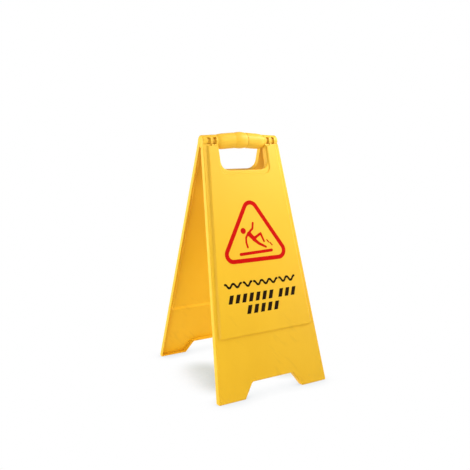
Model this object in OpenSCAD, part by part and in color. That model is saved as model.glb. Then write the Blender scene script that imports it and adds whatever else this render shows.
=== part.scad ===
// Folding floor sign for slippery surfaces: two moulded panels on one hinge.
// Millimetres, +Z up. The origin is on the floor, midway between the feet.
// The hinge line runs along X. The front panel leans towards -Y.
// The sign is drawn standing open.

/* [Panels] */
// Length of a panel from the hinge line to the inner edge of its foot
panel_l = 620; // [480:1:760]
// Full width of a panel at the foot
foot_w = 306; // [250:1:380]
// Full width of a panel at the hinge line
top_w = 215; // [205:1:260]
// Lean of each panel from the vertical when the sign stands open, in degrees
lean = 15.6; // [10:0.1:22]
// Depth of the rim, from the folding plane to its outer face
rim_t = 14; // [10:0.5:20]
// Thickness of the moulded wall
wall = 2.5; // [1.8:0.1:3.5]
// Rounding of the outer edges
edge_r = 3; // [1:0.1:4]
// Gap that the rim keeps from the folding plane, on each panel
fold_gap = 0.4; // [0.2:0.1:1]

/* [Raised face] */
// Height of the raised printing face above the rim
step_t = 4.5; // [2:0.1:6]
// Width of the sloped edge of the raised face
step_run = 6; // [3:0.1:8]
// Width of the rim beside the raised face
rim_w = 9; // [6:0.5:20]
// Height of the foot zone below the raised face, along the panel
foot_zone = 140; // [90:1:200]
// Corner radius of the raised face at the bottom
step_r = 9; // [5:0.5:20]

/* [Foot notch] */
// Width of the notch between the feet at its top
notch_top_w = 115; // [80:1:150]
// Width of the notch at the floor
notch_floor_w = 163; // [110:1:200]
// Height of the notch along the panel
notch_h = 32.4; // [20:0.1:60]
// Corner radius at the top of the notch
notch_r = 7; // [3:0.5:15]
// Corner radius at the outer end of each foot
foot_r = 3.5; // [2:0.5:10]

/* [Hand hole] */
// Width of the hand hole
hole_w = 136; // [110:1:150]
// Distance from the hinge line to the bottom of the hand hole
hole_d = 76; // [65:1:100]
// Inward lean of each side of the hand hole
hole_taper = 2; // [0:0.5:6]
// Radius of its two lower corners
hole_r = 22; // [10:1:32]
// Depth of the shallow recess around the hand hole
recess_t = 2.4; // [0.5:0.1:3]
// Width of the recess below the hand hole
recess_b = 10; // [5:0.5:20]
// Width of the recess beside the hand hole
recess_side = 0.5; // [0.3:0.1:1.5]
// Radius of the two lower corners of the recess
recess_r = 15.4; // [5:0.1:30]
// Width of the sloped edge of the recess
recess_run = 2.4; // [1:0.1:4]

/* [Handle bar] */
// Radius of the bar
grip_r = 19.5; // [17.5:0.5:22]
// Rise of the bar in the middle
grip_bow = 3.4; // [0:0.1:6]
// Wall of the bar around its hollow underside
grip_wall = 3.2; // [2:0.1:5]
// Width of the slot under the bar
grip_slot = 12; // [6:1:20]
// Number of cross ribs in the hollow of the bar
grip_ribs = 5; // [1:1:9]
// Thickness of each cross rib
rib_t = 2.4; // [1.5:0.1:4]
// Width of the round band in the middle of the bar
bead_w = 35; // [20:1:50]
// Height of the band in its middle, above the bar
bead_h = 1.2; // [0.2:0.1:2]
// Depth of the band's two edges, below the bar
bead_dip = 0.8; // [0.2:0.1:1.5]

/* [Hinge] */
// Radius of the hinge barrel beside the hand hole
barrel_r = 17; // [16:0.5:20]
// Radius of the hinge barrel at its outer ends
end_r = 15.6; // [15.2:0.1:20]
// Running gap between the barrel and the front panel
swing_gap = 0.5; // [0.3:0.1:1.5]
// Length of the solid knuckle at each end
knuckle_l = 11.5; // [8:0.5:16]
// Rounding of the outer end of each knuckle
knuckle_r = 3.5; // [2:0.5:8]
// Thickness of the wall between the hand hole and each pocket
web_t = 3; // [2:0.5:6]
// Radius of the moulded hinge pin at the seat of the hook
pin_r = 6; // [4:0.5:8]
// Radius of the pin's shoulders beside the hook
shoulder_r = 12.5; // [7:0.5:13]
// Radial gap between pin and hook
pin_gap = 0.08; // [0.03:0.01:0.1]
// Gap between the hook and each shoulder
side_gap = 0.3; // [0.2:0.1:1]
// Width of each hook
hook_w = 6; // [4:0.5:10]
// Outer radius of the hook's ring
hook_r = 10.5; // [9:0.5:13]
// Half the angle of the hook's mouth, in degrees
mouth = 42; // [30:1:50]
// Direction of the mouth, in degrees from outward towards up
mouth_at = 228; // [215:1:240]
// How far the hood reaches over the front of the pocket, in degrees
hood_reach = 33; // [20:1:45]
// Gap at the open stop, between hood and hook
stop_gap = 0.3; // [0.1:0.1:0.6]

/* [Hidden] */
$fn = 64;
sun_yellow = [0.98, 0.76, 0.13];
hinge_z = panel_l * cos(lean);
foot_l = panel_l + rim_t * tan(lean);
face_t = rim_t + step_t;
face_v = panel_l - foot_zone;
notch_v = panel_l - notch_h;
recess_x = hole_w / 2 + recess_side;
recess_v = hole_d + recess_b;
swing_r = barrel_r + swing_gap;
rim_top = sqrt(swing_r * swing_r - rim_t * rim_t);
pocket_x = hole_w / 2 + web_t;
pocket_l = top_w / 2 - knuckle_l - pocket_x;
hook_x = pocket_x + pocket_l / 2;
// The front panel ends this far below the hinge line before the barrel's space is cut from it
front_v = 5;
// Rounding of corners that end inside the barrel's space
plain_r = 2;
// The raised face of the front panel starts a narrow ledge below the edge of its rim
ledge_w = 1.5;
ledge_v = rim_top + ledge_w;
// How far one shape runs into the next that it is fused with
join = 1;
// How far a hollow starts inside the one that it opens into
sliver = 0.1;
// Smallest radius that an inset corner keeps
least_r = 0.3;
// How far a cutter runs past the panel, along it, under it and over it
past = 40;
under = 2;
over = 9;
// Sloped edges as fractions of their run and of their rise
step_shape = [[0, 0], [0.16, 0.07], [0.34, 0.28], [0.66, 0.76], [0.84, 0.95], [1, 1]];
recess_shape = [[0, 0], [0.42, 0.6], [1, 1]];
// The inner slope of the raised face is inset by this much, so that its wall is as thick as the rest
inner_step = wall * (norm([step_run, step_t]) - step_run) / step_t;
// Hook: the neck's radius and its two end angles, and its root in the curved wall round the barrel
neck_r = barrel_r - swing_gap;
neck_top = 90 - hood_reach - 2 * lean - stop_gap / neck_r * 180 / PI;
neck_foot = -75;
neck_lap = 5;
root_angle = 30;
root_lap = 1.5;
root_r = swing_r + root_lap;
// Gusset behind the neck: its depth at the top, its reach down the panel and its ends in the wall
gusset_w = 4.7;
gusset_v = 45.6;
gusset_top = swing_r + wall + root_lap;
gusset_r = swing_r + root_lap / 2;
// Hood: its inner radius and where its wall starts, in degrees below outward
hood_foot = 6;
hood_in = min(barrel_r, end_r) - wall;
hood_low = asin(ledge_v / barrel_r) + hood_foot;
// Handle bar: where its round part ends and how thin it is there, inside the barrel,
// how fast it thickens, and how finely it is drawn
grip_lap = 1.5;
grip_end = hole_w / 2 - grip_lap;
grip_foot_r = barrel_r - join / 2;
grip_taper = 12;
grip_steps = 6;
bead_steps = 3;
bar_sides = 28;
hollow_sides = 20;
// Arc steps of rounded corners
border_steps = 4;
notch_steps = 5;
hole_steps = 7;

// Half the width of a panel at a distance v from the hinge line.
function half_w(v) = top_w / 2 + (foot_w - top_w) / 2 * v / panel_l;

// Rounded outlines are lists of corners: x, z, radius, number of arc steps.
function cross2(a, b) = a[0] * b[1] - a[1] * b[0];
function flat(c) = [c[0], c[1]];
function edge_in(a, b, d) = let (t = (b - a) / norm(b - a)) [a + [-t[1], t[0]] * d, t];
function meet(e, f) = e[0] + e[1] * cross2(f[0] - e[0], f[1]) / cross2(e[1], f[1]);
function corner_in(p, c, s, d) =
    let (q = flat(c))
    let (m = meet(edge_in(p, q, d), edge_in(q, s, d)))
    let (turn = cross2(q - p, s - q) > 0 ? 1 : -1)
    [m[0], m[1], max(least_r, c[2] - turn * d), c[3]];
function inset(c, d) =
    let (n = len(c))
    [for (i = [0:n - 1]) corner_in(flat(c[(i + n - 1) % n]), c[i], flat(c[(i + 1) % n]), d)];
function corner_arc(a, c, b) =
    let (q = flat(c))
    let (p = (a - q) / norm(a - q))
    let (s = (b - q) / norm(b - q))
    let (h = acos(p * s) / 2)
    let (m = q + (p + s) / norm(p + s) * c[2] / sin(h))
    let (from = q + p * c[2] / tan(h) - m)
    let (to = q + s * c[2] / tan(h) - m)
    let (a0 = atan2(from[1], from[0]))
    let (turn = (atan2(to[1], to[0]) - a0 + 540) % 360 - 180)
    [for (i = [0:c[3]]) m + c[2] * [cos(a0 + turn * i / c[3]), sin(a0 + turn * i / c[3])]];
function outline(c) =
    let (n = len(c))
    [for (i = [0:n - 1]) each corner_arc(flat(c[(i + n - 1) % n]), c[i], flat(c[(i + 1) % n]))];

// The border of a panel, from a distance v below the hinge line down to the floor.
function panel_corners(v, r) = [
    [-half_w(foot_l), -foot_l, foot_r, border_steps],
    [half_w(foot_l), -foot_l, foot_r, border_steps],
    [half_w(v), -v, r, border_steps],
    [-half_w(v), -v, r, border_steps]];

// The notch between the feet, drawn on below the floor.
notch_slope = (notch_floor_w - notch_top_w) / 2 / (foot_l - notch_v);
notch_corners = [
    [-notch_floor_w / 2 - past * notch_slope, -foot_l - past, plain_r, 1],
    [notch_floor_w / 2 + past * notch_slope, -foot_l - past, plain_r, 1],
    [notch_top_w / 2, -notch_v, notch_r, notch_steps],
    [-notch_top_w / 2, -notch_v, notch_r, notch_steps]];

// The hand hole, open to the top, and the wider recess around it.
function hole_corners(x, lean_in, v, r) = [
    [lean_in - x, -v, r, hole_steps],
    [x - lean_in, -v, r, hole_steps],
    [x, past, plain_r, 1],
    [-x, past, plain_r, 1]];
hand_hole = hole_corners(hole_w / 2, hole_taper, hole_d, hole_r);
recess = hole_corners(recess_x, 0, recess_v, recess_r);

// The raised face.
function face_corners(v) = [
    [rim_w - half_w(face_v), -face_v, step_r, border_steps],
    [half_w(face_v) - rim_w, -face_v, step_r, border_steps],
    [half_w(v) - rim_w, -v, plain_r, 1],
    [rim_w - half_w(v), -v, plain_r, 1]];

// Inset and height pairs of a rounded edge that ends at height w.
function soft_edge(w) = [for (a = [0:22.5:90]) [edge_r * (1 - cos(a)), w - edge_r * (1 - sin(a))]];

// The same for the edge of an opening, which widens outwards.
function soft_mouth(w) =
    concat([[0, -under]], [for (s = soft_edge(w)) [-s[0], s[1]]], [[-edge_r, w + over]]);

// A solid between the insets of one outline. The heights run along +Y.
module loft(corners, levels) {
    n = len(outline(corners));
    m = len(levels);
    polyhedron(
        points = [for (l = levels) for (p = outline(inset(corners, l[0]))) [p[0], l[1], p[1]]],
        faces = concat(
            [[for (i = [n - 1:-1:0]) i]],
            [[for (i = [0:n - 1]) (m - 1) * n + i]],
            [for (k = [0:m - 2]) for (i = [0:n - 1])
                [k * n + i, k * n + (i + 1) % n, (k + 1) * n + (i + 1) % n, (k + 1) * n + i]]));
}

// A straight prism of an outline from height w0 to w1 along +Y.
module slab(corners, w0, w1) {
    translate([0, w1, 0])
        rotate([90, 0, 0])
            linear_extrude(w1 - w0)
                polygon(outline(corners));
}

// A profile drawn outward and up, drawn out along X.
module bar_x(x0, x1) {
    translate([x0, 0, 0])
        rotate([90, 0, 90])
            linear_extrude(x1 - x0)
                children();
}

// A round bar along X.
module round_x(r, x0, x1) {
    translate([x0, 0, 0])
        rotate([0, 90, 0])
            cylinder(r = r, h = x1 - x0);
}

// The same piece on both sides.
module both_sides() {
    children();
    mirror([1, 0, 0])
        children();
}

// What lies above a plane that is h over the floor, seen from an upright panel.
module above_floor(h) {
    rotate([-lean, 0, 0])
        translate([-foot_w, -panel_l, h - hinge_z])
            cube([2 * foot_w, 2 * panel_l, hinge_z + panel_l]);
}

// The outside of a panel, upright, with its outer face towards +Y.
module panel_outside(v, r, face_top) {
    difference() {
        intersection() {
            union() {
                loft(panel_corners(v, r), concat([[0, fold_gap]], soft_edge(rim_t)));
                loft(face_corners(face_top), concat(
                    [[0, rim_t - wall]],
                    [for (s = step_shape) [step_run * s[0], rim_t + step_t * s[1]]]));
            }
            above_floor(0);
        }
        loft(notch_corners, soft_mouth(rim_t));
        loft(hand_hole, soft_mouth(face_t - recess_t));
        loft(recess, concat(
            [for (s = recess_shape) [-recess_run * s[0], face_t - recess_t * (1 - s[1])]],
            [[-recess_run, face_t + over]]));
    }
}

// The hollow inside of a panel, open towards the folding plane.
module panel_inside(v, r, face_top) {
    difference() {
        intersection() {
            union() {
                slab(inset(panel_corners(v, r), wall), -under, rim_t - wall);
                loft(face_corners(face_top), [
                    [inner_step, rim_t - wall - sliver],
                    [inner_step + step_run, face_t - wall]]);
            }
            above_floor(wall);
        }
        slab(inset(notch_corners, -wall), -under, face_t);
        slab(inset(hand_hole, -wall), -under, face_t);
        slab(inset(recess, -wall), face_t - recess_t - wall, face_t);
    }
}

// A wedge with its point on the hinge line, between two angles from outward towards up.
module wedge(a0, a1, r) {
    mid = (a0 + a1) / 2;
    polygon([
        [0, 0],
        2 * r * [cos(a0), sin(a0)],
        2 * r * [cos(mid), sin(mid)],
        2 * r * [cos(a1), sin(a1)]]);
}

// The part of a disc between two angles.
module sector(r, a0, a1) {
    intersection() {
        circle(r);
        wedge(a0, a1, r);
    }
}

// Side view of a hook: a ring with a mouth, and a neck that joins it to the panel.
module hook_profile() {
    difference() {
        union() {
            circle(hook_r);
            sector(neck_r, neck_foot + neck_lap, neck_top);
            sector(root_r, neck_foot, neck_foot + root_angle);
        }
        circle(pin_r + pin_gap);
        wedge(mouth_at - mouth, mouth_at + mouth, hook_r);
    }
}

// The gusset that carries the neck inside the panel.
module gusset_profile() {
    difference() {
        polygon([
            [face_t - wall / 2, -rim_top],
            [face_t - wall / 2, -gusset_v],
            [gusset_w, -gusset_top],
            [gusset_w, -rim_top]]);
        circle(gusset_r);
    }
}

module hooks() {
    both_sides()
        bar_x(hook_x - hook_w / 2, hook_x + hook_w / 2) {
            hook_profile();
            gusset_profile();
        }
}

// The front panel, upright, with its outer face towards +Y.
module front_shape() {
    difference() {
        panel_outside(front_v, plain_r, ledge_v);
        difference() {
            panel_inside(front_v, plain_r, ledge_v);
            round_x(swing_r + wall, -top_w, top_w);
        }
        round_x(swing_r, -top_w, top_w);
    }
    hooks();
}

// The space of a hinge pocket, in which a hook turns.
module pocket_space() {
    round_x(hood_in, pocket_x, pocket_x + pocket_l);
}

// One end of the barrel: a tapered bar with a rounded knuckle outside and a hood over the pocket.
// The hood's front edge is the open stop.
module barrel_end() {
    from = grip_end - join / 2;
    length = top_w / 2 - from;
    difference() {
        translate([from, 0, 0])
            rotate([0, 90, 0])
                rotate_extrude() {
                    polygon([
                        [0, 0],
                        [barrel_r, 0],
                        [barrel_r, pocket_x - from],
                        [end_r, length - knuckle_r],
                        [end_r - knuckle_r, length],
                        [0, length]]);
                    translate([end_r - knuckle_r, length - knuckle_r])
                        circle(knuckle_r);
                }
        bar_x(pocket_x, pocket_x + pocket_l)
            wedge(90 + hood_reach, 360 - hood_low, barrel_r);
    }
}

// The hinge pin in a pocket, with shoulders that hold the hook sideways.
module hinge_pin() {
    round_x(pin_r, pocket_x - join, pocket_x + pocket_l + join);
    round_x(shoulder_r, pocket_x - join, hook_x - hook_w / 2 - side_gap);
    round_x(shoulder_r, hook_x + hook_w / 2 + side_gap, pocket_x + pocket_l + join);
}

// Sections of the handle bar: place, radius and rise.
function ease(t) = let (s = min(1, max(0, t))) s * s * (3 - 2 * s);
function grip_rad(x) = grip_foot_r + (grip_r - grip_foot_r) * ease((grip_end - abs(x)) / grip_taper);
function grip_rise(x) = grip_bow / 2 * (1 + cos(180 * min(1, abs(x) / grip_end)));
function bead(x) = bead_h - (bead_h + bead_dip) * pow(2 * x / bead_w, 2);
function side_x(i) = grip_end - (grip_end - bead_w / 2) * i / grip_steps;
function bar_rings(less, bead_on) = concat(
    [for (i = [0:grip_steps]) let (x = -side_x(i)) [x, grip_rad(x) - less, grip_rise(x)]],
    [for (i = [-bead_steps:bead_steps]) let (x = i * bead_w / 2 / bead_steps)
        [x, grip_rad(x) - less + bead_on * bead(x), grip_rise(x)]],
    [for (i = [grip_steps:-1:0]) let (x = side_x(i)) [x, grip_rad(x) - less, grip_rise(x)]]);

// A round bar through a list of sections, each with the given number of sides.
module swept_bar(rings, sides) {
    m = len(rings);
    polyhedron(
        points = [for (s = rings) for (i = [0:sides - 1])
            let (a = 360 * i / sides)
            [s[0], s[1] * cos(a), s[2] + s[1] * sin(a)]],
        faces = concat(
            [[for (i = [0:sides - 1]) i]],
            [[for (i = [sides - 1:-1:0]) (m - 1) * sides + i]],
            [for (k = [0:m - 2]) for (i = [0:sides - 1])
                [k * sides + i, (k + 1) * sides + i,
                 (k + 1) * sides + (i + 1) % sides, k * sides + (i + 1) % sides]]));
}

// The hollow of the bar, open downwards and crossed by ribs.
module grip_hollow() {
    inner = grip_end - grip_wall;
    pitch = 2 * inner / (grip_ribs + 1);
    deep = 2 * grip_r;
    hollow_rings = [for (s = bar_rings(grip_wall, 0)) if (abs(s[0]) > bead_w / 2 || s[0] == 0) s];
    difference() {
        union() {
            intersection() {
                swept_bar(hollow_rings, hollow_sides);
                translate([-inner, -grip_r, -grip_r])
                    cube([2 * inner, deep, deep + grip_r]);
            }
            translate([-inner, -grip_slot / 2, -deep])
                cube([2 * inner, grip_slot, deep]);
        }
        for (i = [1:grip_ribs])
            translate([pitch * i - inner - rib_t / 2, -grip_r, -deep])
                cube([rib_t, deep, 2 * deep]);
    }
}

module handle_bar() {
    difference() {
        swept_bar(bar_rings(0, 1), bar_sides);
        grip_hollow();
    }
}

// The back panel, upright, with its outer face towards +Y.
module back_shape() {
    difference() {
        union() {
            difference() {
                panel_outside(0, knuckle_r, ledge_v);
                panel_inside(0, knuckle_r, ledge_v);
            }
            both_sides()
                barrel_end();
        }
        both_sides()
            pocket_space();
    }
    both_sides()
        hinge_pin();
    handle_bar();
}

module front_panel() {
    color(sun_yellow)
        translate([0, 0, hinge_z])
            rotate([-lean, 0, 0])
                mirror([0, 1, 0])
                    front_shape();
}

module back_panel() {
    color(sun_yellow)
        translate([0, 0, hinge_z])
            rotate([lean, 0, 0])
                back_shape();
}

front_panel();
back_panel();
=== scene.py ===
import math

import bmesh
import bpy
import numpy as np
from mathutils import Matrix, Vector


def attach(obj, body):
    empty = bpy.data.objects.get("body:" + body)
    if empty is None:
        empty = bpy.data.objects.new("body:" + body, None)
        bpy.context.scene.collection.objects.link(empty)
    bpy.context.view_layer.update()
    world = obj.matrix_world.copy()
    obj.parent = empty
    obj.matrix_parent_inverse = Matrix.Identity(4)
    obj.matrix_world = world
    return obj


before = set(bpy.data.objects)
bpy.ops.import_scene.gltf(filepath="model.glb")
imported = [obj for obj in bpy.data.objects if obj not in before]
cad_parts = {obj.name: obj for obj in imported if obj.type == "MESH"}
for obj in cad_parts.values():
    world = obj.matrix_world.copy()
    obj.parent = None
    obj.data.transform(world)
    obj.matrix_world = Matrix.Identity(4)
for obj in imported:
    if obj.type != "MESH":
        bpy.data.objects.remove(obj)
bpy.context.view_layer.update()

scene = bpy.context.scene

# Numbers of the CAD source, in metres and radians.
PANEL_L = 0.620
LEAN = math.radians(15.6)
HINGE_Z = PANEL_L * math.cos(LEAN)
FACE_W = 0.0185

# Colours, as linear light.
YELLOW = (0.83, 0.475, 0.015, 1)
YELLOW_DEEP = (0.80, 0.450, 0.012, 1)
# Painted sheen: this paler colour towards the top stands in for the light's sheen on the upper face.
YELLOW_PAINTED_SHEEN = (0.83, 0.480, 0.034, 1)
YELLOW_WORN = (0.90, 0.58, 0.10, 1)
# Painted shade in hollows, and also the colour of the smears on the lower part.
YELLOW_GRIME_AND_SHADE = (0.46, 0.21, 0.010, 1)
SCUFFED = (0.42, 0.27, 0.07, 1)
RED = (0.60, 0.005, 0.002, 1)
RED_DEEP = (0.50, 0.004, 0.002, 1)
RED_FLECK = (0.75, 0.20, 0.02, 1)
BLACK = (0.012, 0.005, 0.001, 1)
BLACK_PALE = (0.020, 0.010, 0.003, 1)
BLACK_FLECK = (0.20, 0.12, 0.02, 1)
WHITE = (1, 1, 1, 1)

# The print: thickness of the ink in metres.
INK_T = 0.00012

# The rest of the print is in millimetres: u across the panel, v down from the hinge line.
PRINT_CELL = 0.8
WARNING_AREA = (-96, 148), (88, 312)
DARK_AREA = (-108, 344), (104, 434)
TRIANGLE_CORE = [(-4.2, 176.6), (-67.6, 282.6), (59.2, 282.6)]
TRIANGLE_OUT = 17.6  # from the core to the middle of the line
TRIANGLE_LINE = 5.3  # half the width of the line
RIPPLE_START = (-101.0, 356.0)
RIPPLE_WAVE = 22
RIPPLE_R = 2.7
RIPPLES = [(44, 7.0, 4.4), (22, 7.0, 4.8), (66, 7.0, 4.4), (44, 0, 4.8)]  # length, gap and rise
SLASH_H = 20.6
SLASH_SLANT = 0.34  # sideways for each millimetre of height

# The plastic: scales are in waves per metre, heights in metres above the floor.
GRAIN_SCALE = 1500.0
# Heights between which the painted sheen grows.
SHEEN_FROM, SHEEN_TO = 0.26, 0.58
# Reach of the painted shade in hollows.
HOLLOW_SHADE_REACH = 0.009
STREAK_TILT = math.radians(-42)  # from upright
STREAK_SIZE = (0.008, 0.020, 0.045)
STREAK_TOP, STREAK_FULL = 0.26, 0.12
SCUFF_TOP = 0.050

# The floor: what lights the sign from it, and what the camera sees of it.
FLOOR_SIZE = 14
FLOOR_COOL, FLOOR_PALE = (0.81, 0.82, 0.84, 1), (0.83, 0.84, 0.86, 1)
FLOOR_LIT = (0.25, 0.25, 0.25, 1)
# The painted shadow on the floor: its reach, the openness at which it is darkest and gone, its
# colours, and the lines where it is kept.
SHADE_REACH, SHADE_CLOSED_AT, SHADE_OPEN_AT = 0.30, 0.58, 0.82
SHADE_CLOSED, SHADE_OPEN = (0.29, 0.36, 0.355, 1), (0.78, 0.80, 0.82, 1)
SHADE_MIDDLE, SHADE_LINE = (0, -0.02, 0), (0.104, 0.03, 0)
SHADE_NEAR, SHADE_FAR = 0.02, 0.10
# The painted contact shadow near whatever touches the floor.
CONTACT_REACH, CONTACT_SHADE = 0.05, (0.72, 0.74, 0.76, 1)

# Lamps: name, place, target, size in metres, and watts. The key is a honeycomb softbox over the
# hinge, from the right. The others are open softboxes.
LAMPS = [
    ("key", (0.60, -0.35, 1.10), (0.02, -0.02, 0.55), (0.45, 0.45), 1.6),
    ("left_front", (-1.1, -0.75, 0.35), (0, 0.05, 0.25), (0.5, 0.5), 4.9),
    ("right_front", (1.1, -0.75, 0.45), (0, -0.05, 0.25), (0.5, 0.5), 6.0),
    ("rim_left", (-1.5, 0.75, 0.65), (0, 0, 0.30), (0.9, 1.2), 20.5),
    ("back_fill", (0.70, 1.40, 0.40), (0, 0.1, 0.30), (0.6, 0.6), 7.0)]
KEY_SPREAD = math.radians(70)
WORLD_LIGHT = 0.5

# The camera, found by fitting the sign's edges.
PICTURE_PX = 470
FOCAL_PX = 569.85
SENSOR_MM = 36
CAMERA_PLACE = (-0.71819, -1.26308, 0.60258)
CAMERA_TURN = (math.radians(80.468), 0, math.radians(-29.257))


def panel_matrix(side):
    """Takes (u, v, w) of the front (-1) or back (+1) panel to the row frame.

    Here u runs along +X, v down the slope from the hinge line and w outwards from the folding plane.
    """
    s, c = math.sin(LEAN), math.cos(LEAN)
    return Matrix((
        (1, 0, 0, 0),
        (0, side * s, side * c, 0),
        (0, -c, s, HINGE_Z),
        (0, 0, 0, 1)))


# Shapes of the print, as signed distances in millimetres. They are negative inside.

def seg(p, a, b, r0, r1=None):
    """A stroke from a to b, whose radius goes from r0 to r1."""
    r1 = r0 if r1 is None else r1
    a, b = np.array(a, float), np.array(b, float)
    ab = b - a
    t = np.clip(((p - a) @ ab) / (ab @ ab), 0, 1)
    return np.linalg.norm(p - a - t[..., None] * ab, axis=-1) - (r0 + (r1 - r0) * t)


def path(p, points, r):
    """A stroke of constant radius through some points."""
    return np.min([seg(p, a, b, r) for a, b in zip(points, points[1:])], axis=0)


def polygon(p, corners):
    """The distance to a convex polygon, negative inside."""
    corners = np.array(corners, float)
    edges = [(corners[i], corners[(i + 1) % len(corners)]) for i in range(len(corners))]
    near = np.min([seg(p, a, b, 0.0) for a, b in edges], axis=0)
    middle = corners.mean(axis=0)
    inside = np.ones(p.shape[:-1], bool)
    for a, b in edges:
        n = np.array([a[1] - b[1], b[0] - a[0]])
        inside &= ((p - a) @ n) * ((middle - a) @ n) >= 0
    return np.where(inside, -near, near)


def smooth_union(a, b, k):
    """Joins two shapes with a small fillet."""
    h = np.clip(0.5 + 0.5 * (b - a) / k, 0, 1)
    return b + (a - b) * h - k * h * (1 - h)


def warning_triangle(p):
    """A triangular line with round corners."""
    return np.abs(polygon(p, TRIANGLE_CORE) - TRIANGLE_OUT) - TRIANGLE_LINE


def slipping_figure(p):
    """The common figure that falls backwards over a line."""
    head = seg(p, (-32.4, 227.4), (-32.0, 228.0), 7.2)
    raised_arm = path(p, [(-2.3, 210.0), (-5.6, 224.0), (-17.6, 233.6)], 2.7)
    low_arm = path(p, [(-18.4, 233.6), (-26.6, 245.0), (-27.6, 257.0), (-25.0, 268.6)], 2.6)
    torso = seg(p, (-16.2, 236.6), (-3.6, 250.6), 6.0, 4.8)
    thigh = seg(p, (-4.4, 248.4), (15.8, 237.4), 3.6, 3.0)
    shin = seg(p, (15.8, 237.4), (23.0, 257.6), 3.0, 2.5)
    long_leg = np.minimum(
        seg(p, (-5.0, 250.8), (8.2, 262.0), 4.2, 3.6),
        seg(p, (8.2, 262.0), (26.4, 271.8), 3.6, 2.6))
    body = smooth_union(torso, thigh, 2.0)
    body = smooth_union(body, long_leg, 2.0)
    body = smooth_union(body, np.minimum(raised_arm, low_arm), 1.5)
    dashes = np.minimum(
        path(p, [(31.4, 254.8), (35.8, 260.6)], 1.7),
        path(p, [(39.6, 262.2), (44.8, 268.6)], 1.7))
    ground = seg(p, (-46.6, 284.2), (41.2, 281.4), 3.8)
    return np.min([head, body, shin, dashes, ground], axis=0)


def warning_print(p):
    """All that is printed in red."""
    return np.minimum(warning_triangle(p), slipping_figure(p))


def ripple(p):
    """Wavy strokes, broken into short lengths of uneven size."""
    u, v = p[..., 0], p[..., 1]
    shape = np.full(u.shape, 1e3)
    start, level = RIPPLE_START
    for length, gap, rise in RIPPLES:
        waves = round(length / RIPPLE_WAVE)
        t = np.clip((u - start) / length, 0, 1)
        middle = level - rise * np.cos(2 * math.pi * t * waves)
        slope = rise * 2 * math.pi * waves / length * np.sin(2 * math.pi * t * waves)
        upright = (v - middle) / np.sqrt(1 + slope ** 2)
        sideways = np.maximum(np.maximum(start - u, u - start - length), 0)
        shape = np.minimum(shape, np.hypot(upright, sideways) - RIPPLE_R)
        start += length + gap
    return shape


def slashes(p, u0, v0, pitch, counts, gap, width):
    """Groups of slanted bars, as on a hazard tape."""
    shape = np.full(p.shape[:-1], 1e3)
    lean = SLASH_H * SLASH_SLANT
    u = u0
    for count in counts:
        for _ in range(count):
            shape = np.minimum(shape, polygon(p, [
                (u + lean, v0), (u + lean + width, v0),
                (u + width, v0 + SLASH_H), (u, v0 + SLASH_H)]))
            u += pitch
        u += gap
    return shape


def dark_print(p):
    """All that is printed in black."""
    return np.min([
        ripple(p),
        slashes(p, -98.0, 378.2, pitch=18.6, counts=(7, 3), gap=10.0, width=10.6),
        slashes(p, -51.6, 407.0, pitch=19.2, counts=(5,), gap=0, width=11.0)], axis=0)


# The print as meshes

def cut_out(bm, shape, low, high):
    """Fills a shape with flat faces, whose outer edges follow its zero line."""
    us = np.arange(low[0], high[0] + PRINT_CELL, PRINT_CELL)
    vs = np.arange(low[1], high[1] + PRINT_CELL, PRINT_CELL)
    grid = np.stack(np.meshgrid(us, vs, indexing="ij"), axis=-1)
    value = shape(grid)
    made = {}

    def vertex(key, point):
        if key not in made:
            made[key] = bm.verts.new((point[0] / 1000, point[1] / 1000, 0))
        return made[key]

    near = value < 2 * PRINT_CELL
    cells = np.argwhere(near[:-1, :-1] | near[1:, :-1] | near[:-1, 1:] | near[1:, 1:])
    for i, j in cells:
        ring = [(i, j), (i + 1, j), (i + 1, j + 1), (i, j + 1)]
        corners = []
        for a, b in zip(ring, ring[1:] + ring[:1]):
            fa, fb = value[a], value[b]
            if fa < 0:
                corners.append(vertex(a, grid[a]))
            if (fa < 0) != (fb < 0):
                point = grid[a] + (grid[b] - grid[a]) * (fa / (fa - fb))
                corners.append(vertex((min(a, b), max(a, b)), point))
        if len(corners) > 2:
            bm.faces.new(corners)


def thicken(bm):
    """Merges the flat faces into few triangles, and gives them the ink's thickness."""
    bmesh.ops.remove_doubles(bm, verts=bm.verts, dist=2e-6)
    bmesh.ops.dissolve_limit(
        bm, angle_limit=math.radians(1.0), use_dissolve_boundaries=False,
        verts=bm.verts, edges=bm.edges)
    bmesh.ops.triangulate(bm, faces=bm.faces)
    film = bmesh.ops.extrude_face_region(bm, geom=list(bm.faces))
    top = [g for g in film["geom"] if isinstance(g, bmesh.types.BMVert)]
    bmesh.ops.translate(bm, verts=top, vec=(0, 0, INK_T))
    bmesh.ops.recalc_face_normals(bm, faces=bm.faces)


def printed(name, shape, area, side, material):
    """A film of ink on the outer face of the front (-1) or back (+1) panel."""
    bm = bmesh.new()
    cut_out(bm, shape, *area)
    thicken(bm)
    mirror = Matrix.Diagonal((1 if side < 0 else -1, 1, 1, 1))
    bm.transform(panel_matrix(side) @ mirror @ Matrix.Translation((0, 0, FACE_W)))
    bmesh.ops.recalc_face_normals(bm, faces=bm.faces)
    mesh = bpy.data.meshes.new(name)
    bm.to_mesh(mesh)
    bm.free()
    mesh.materials.append(material)
    piece = bpy.data.objects.new(name, mesh)
    scene.collection.objects.link(piece)
    body = "front_panel" if side < 0 else "back_panel"
    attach(piece, body)


# Materials

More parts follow.
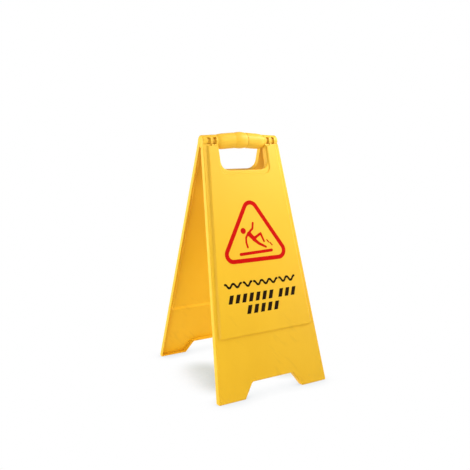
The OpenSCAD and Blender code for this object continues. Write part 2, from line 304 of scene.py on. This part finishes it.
class Nodes:
    """Short calls for building a node tree."""

    def __init__(self, owner, output="ShaderNodeOutputMaterial"):
        self.owner = owner
        owner.use_nodes = True
        self.tree = owner.node_tree
        self.tree.nodes.clear()
        self.out = self.add(output)

    def add(self, kind, inputs=None, **settings):
        node = self.tree.nodes.new(kind)
        for key, value in settings.items():
            setattr(node, key, value)
        for key, value in (inputs or {}).items():
            self.put(node.inputs[key], value)
        return node

    def put(self, socket, value):
        if isinstance(value, bpy.types.NodeSocket):
            self.tree.links.new(value, socket)
        else:
            socket.default_value = value

    def finish(self, shader):
        self.put(self.out.inputs[0], shader.outputs[0])
        return self.owner

    def math(self, operation, a, b=0.0, clamp=False):
        node = self.add("ShaderNodeMath", {0: a, 1: b}, operation=operation, use_clamp=clamp)
        return node.outputs[0]

    def times(self, a, b):
        return self.math("MULTIPLY", a, b)

    def vector(self, operation, a, b=(0, 0, 0)):
        node = self.add("ShaderNodeVectorMath", {0: a, 1: b}, operation=operation)
        return node.outputs["Vector"]

    def length(self, a):
        return self.add("ShaderNodeVectorMath", {0: a}, operation="LENGTH").outputs["Value"]

    def mix(self, factor, a, b):
        node = self.add("ShaderNodeMix", data_type="RGBA")
        self.put(node.inputs[0], factor)
        self.put(node.inputs[6], a)
        self.put(node.inputs[7], b)
        return node.outputs[2]

    def mix_shader(self, factor, a, b):
        return self.add("ShaderNodeMixShader", {0: factor, 1: a.outputs[0], 2: b.outputs[0]})

    def stretch(self, coords, scale):
        return self.add("ShaderNodeMapping", {"Vector": coords, "Scale": scale}).outputs[0]

    def noise(self, coords, scale, detail=2.0, roughness=0.5):
        return self.add("ShaderNodeTexNoise", {
            "Vector": coords, "Scale": scale, "Detail": detail, "Roughness": roughness}).outputs["Fac"]

    def ramp(self, value, low, high, smooth=True):
        """From 0 at low to 1 at high."""
        return self.add("ShaderNodeMapRange", {
            "Value": value, "From Min": low, "From Max": high},
            interpolation_type="SMOOTHSTEP" if smooth else "LINEAR").outputs[0]

    def spread(self, value, low, high):
        """Takes 0 to 1 to low to high."""
        return self.add("ShaderNodeMapRange", {
            "Value": value, "To Min": low, "To Max": high}).outputs[0]

    def open_sky(self, reach, samples, **settings):
        return self.add("ShaderNodeAmbientOcclusion", {
            "Distance": reach}, samples=samples, **settings).outputs["AO"]

    def bump(self, height, strength, distance, **normal):
        return self.add("ShaderNodeBump", {
            "Strength": strength, "Distance": distance, "Height": height, **normal}).outputs[0]


def plastic_tone(n, place, height):
    """Flow marks of the moulding along the panel, and a painted sheen: paler towards the top, where
    the light falls on the upper face.
    """
    flow = n.noise(n.stretch(place, (14.0, 14.0, 3.0)), 1.0, 3.0, 0.55)
    cloud = n.noise(place, 9.0, 3.0, 0.5)
    tone = n.math("ADD", n.times(flow, 0.55), n.times(cloud, 0.45))
    colour = n.mix(n.ramp(tone, 0.36, 0.66), YELLOW_DEEP, YELLOW)
    # Painted sheen: paler and bluer towards the top.
    return n.mix(n.ramp(height, SHEEN_FROM, SHEEN_TO), colour, YELLOW_PAINTED_SHEEN)


def plastic_wear(n, place, colour):
    """Pale wear where an edge stands out, and painted shade: darker where the surface is closed in, as
    deep in the hinge pockets.
    """
    edge = n.add("ShaderNodeNewGeometry").outputs["Pointiness"]
    patchy = n.ramp(n.noise(place, 60.0, 3.0, 0.6), 0.35, 0.7)
    wear = n.times(n.ramp(edge, 0.53, 0.62), n.times(patchy, 0.35))
    colour = n.mix(wear, colour, YELLOW_WORN)
    # Painted shade: darker where little sky is open within a short reach.
    closed = n.ramp(n.open_sky(HOLLOW_SHADE_REACH, 8, only_local=True), 0.78, 0.25, smooth=False)
    hollow_shade = n.times(closed, n.math("ADD", 0.35, n.times(patchy, 0.25)))
    return n.mix(hollow_shade, colour, YELLOW_GRIME_AND_SHADE)


def plastic_marks(n, place, height, colour):
    """A few soft smears that slant down the lower part, and scuffs in the lowest centimetres."""
    slanted = n.add("ShaderNodeMapping", {
        "Vector": place, "Rotation": (0, STREAK_TILT, 0), "Scale": STREAK_SIZE},
        vector_type="TEXTURE").outputs[0]
    streak = n.ramp(n.noise(slanted, 1.0, 1.0, 0.5), 0.48, 0.72)
    here = n.ramp(n.noise(place, 16.0, 1.0, 0.5), 0.50, 0.66)
    streak = n.times(n.times(streak, here), n.ramp(height, STREAK_TOP, STREAK_FULL))
    colour = n.mix(n.times(streak, 0.14), colour, YELLOW_GRIME_AND_SHADE)
    scuff = n.ramp(n.noise(n.stretch(place, (220.0, 220.0, 60.0)), 1.0, 2.0, 0.6), 0.60, 0.72)
    dirt = n.times(n.ramp(height, SCUFF_TOP, 0.0), n.times(scuff, 0.30))
    return n.mix(dirt, colour, SCUFFED)


def plastic_relief(n, place):
    """Fine grain of the mould, and slow waves of a large moulded wall."""
    grain = n.noise(place, GRAIN_SCALE, 2.0, 0.6)
    waves = n.noise(place, 14.0, 1.0, 0.4)
    fine = n.bump(grain, 0.10, 0.00020)
    return n.bump(waves, 0.20, 0.0016, Normal=fine)


def moulded_plastic(name):
    """Yellow moulded plastic with a satin finish."""
    n = Nodes(bpy.data.materials.new(name))
    place = n.add("ShaderNodeTexCoord").outputs["Object"]
    height = n.add("ShaderNodeSeparateXYZ", {0: place}).outputs[2]
    colour = plastic_tone(n, place, height)
    colour = plastic_wear(n, place, colour)
    colour = plastic_marks(n, place, height, colour)
    return n.finish(n.add("ShaderNodeBsdfPrincipled", {
        "Base Color": colour,
        "Roughness": n.spread(n.noise(place, 42.0, 3.0, 0.6), 0.40, 0.50),
        "IOR": 1.49,
        "Specular IOR Level": 0.24,
        "Normal": plastic_relief(n, place)}))


def ink(name, colour, other, fleck):
    """Screen ink: an uneven tone and gloss, with faint pinholes."""
    n = Nodes(bpy.data.materials.new(name))
    place = n.add("ShaderNodeTexCoord").outputs["Object"]
    tone = n.ramp(n.noise(place, 120.0, 4.0, 0.6), 0.3, 0.7)
    body = n.mix(tone, colour, other)
    holes = n.ramp(n.noise(place, 900.0, 2.0, 0.5), 0.72, 0.80)
    body = n.mix(n.times(holes, 0.4), body, fleck)
    return n.finish(n.add("ShaderNodeBsdfPrincipled", {
        "Base Color": body,
        "Roughness": n.spread(n.noise(place, 300.0, 2.0), 0.50, 0.62),
        "IOR": 1.47,
        "Specular IOR Level": 0.04,
        "Normal": n.bump(n.noise(place, GRAIN_SCALE, 2.0, 0.6), 0.08, 0.00015)}))


def shade_fade(n, place):
    """Grows from 0 along two short lines between the feet, at the left and the right, to 1 away. The
    painted shadow is kept where it is 0.
    """
    past = n.vector("ABSOLUTE", n.vector("SUBTRACT", place, SHADE_MIDDLE))
    past = n.vector("SUBTRACT", past, SHADE_LINE)
    past = n.vector("MAXIMUM", past, n.vector("MULTIPLY", past, (-1, 0, 0)))
    return n.ramp(n.length(past), SHADE_NEAR, SHADE_FAR)


def floor_material():
    """A white studio floor. The camera sees a painted soft grey shadow where the sign closes it in,
    and a painted contact shadow by the feet.
    """
    n = Nodes(bpy.data.materials.new("studio_floor"))
    rays = n.add("ShaderNodeLightPath").outputs
    seen = n.math("ADD", rays["Is Camera Ray"], rays["Is Glossy Ray"], clamp=True)
    seen = n.math("ADD", seen, rays["Is Transmission Ray"], clamp=True)
    place = n.add("ShaderNodeTexCoord").outputs["Object"]

    tint = n.mix(n.ramp(n.noise(place, 3.0, 3.0), 0.3, 0.7), FLOOR_COOL, FLOOR_PALE)
    matt = n.add("ShaderNodeBsdfDiffuse", {"Color": tint})

    # Painted shadow: a grey that follows how much sky is open, seen by the camera only.
    sky = n.ramp(n.open_sky(SHADE_REACH, 24), SHADE_CLOSED_AT, SHADE_OPEN_AT, smooth=False)
    painted_shadow = n.add("ShaderNodeEmission", {"Color": n.mix(sky, SHADE_CLOSED, SHADE_OPEN)})
    lit = n.add("ShaderNodeBsdfDiffuse", {"Color": FLOOR_LIT})
    shaded = n.add("ShaderNodeAddShader", {0: lit.outputs[0], 1: painted_shadow.outputs[0]})

    # Painted contact shadow: darker right where something touches the floor.
    touch = n.ramp(n.open_sky(CONTACT_REACH, 16), 0.35, 0.95, smooth=False)
    painted_contact_shadow = n.add("ShaderNodeEmission", {"Color": n.mix(touch, CONTACT_SHADE, WHITE)})

    shown = n.mix_shader(shade_fade(n, place), shaded, painted_contact_shadow)
    return n.finish(n.mix_shader(seen, matt, shown))


def studio_world():
    """Even light all round, which the camera sees as white."""
    n = Nodes(bpy.data.worlds.new("studio"), "ShaderNodeOutputWorld")
    rays = n.add("ShaderNodeLightPath").outputs
    seen = n.math("MAXIMUM", rays["Is Camera Ray"], rays["Is Transmission Ray"])
    lit = n.add("ShaderNodeBackground", {"Color": WHITE, "Strength": WORLD_LIGHT})
    shown = n.add("ShaderNodeBackground", {"Color": WHITE, "Strength": 1.0})
    return n.finish(n.mix_shader(seen, lit, shown))


# Studio parts

def area_light(name, place, target, size, power):
    """A softbox at a place, turned to a target. The camera doesn't see it."""
    data = bpy.data.lights.new(name, "AREA")
    data.shape = "RECTANGLE"
    data.size, data.size_y = size
    data.energy = power
    lamp = bpy.data.objects.new(name, data)
    scene.collection.objects.link(lamp)
    lamp.location = place
    lamp.visible_camera = False
    lamp.rotation_euler = (Vector(target) - Vector(place)).to_track_quat("-Z", "Y").to_euler()


def studio_floor():
    """One large plane at the height of the feet."""
    bpy.ops.mesh.primitive_plane_add(size=FLOOR_SIZE, location=(0, 0, 0))
    floor = bpy.context.object
    floor.name = "studio_floor"
    floor.data.materials.append(floor_material())


def studio_camera():
    """The camera at the fitted place."""
    data = bpy.data.cameras.new("camera")
    data.sensor_width = SENSOR_MM
    data.lens = FOCAL_PX / PICTURE_PX * SENSOR_MM
    camera = bpy.data.objects.new("camera", data)
    scene.collection.objects.link(camera)
    camera.location = CAMERA_PLACE
    camera.rotation_euler = CAMERA_TURN
    return camera


# The model

for node in ("front_panel", "back_panel"):
    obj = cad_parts[node]
    obj.data.materials.clear()
    obj.data.materials.append(moulded_plastic(node + "_plastic"))

red_ink = ink("red_ink", RED, RED_DEEP, RED_FLECK)
black_ink = ink("black_ink", BLACK, BLACK_PALE, BLACK_FLECK)

for side, where in ((-1, "front"), (1, "back")):
    printed(where + "_warning_print", warning_print, WARNING_AREA, side, red_ink)
    printed(where + "_dark_print", dark_print, DARK_AREA, side, black_ink)


# The studio

for lamp in LAMPS:
    area_light(*lamp)
bpy.data.lights["key"].spread = KEY_SPREAD
scene.world = studio_world()
studio_floor()
scene.camera = studio_camera()
scene.view_settings.view_transform = "Standard"
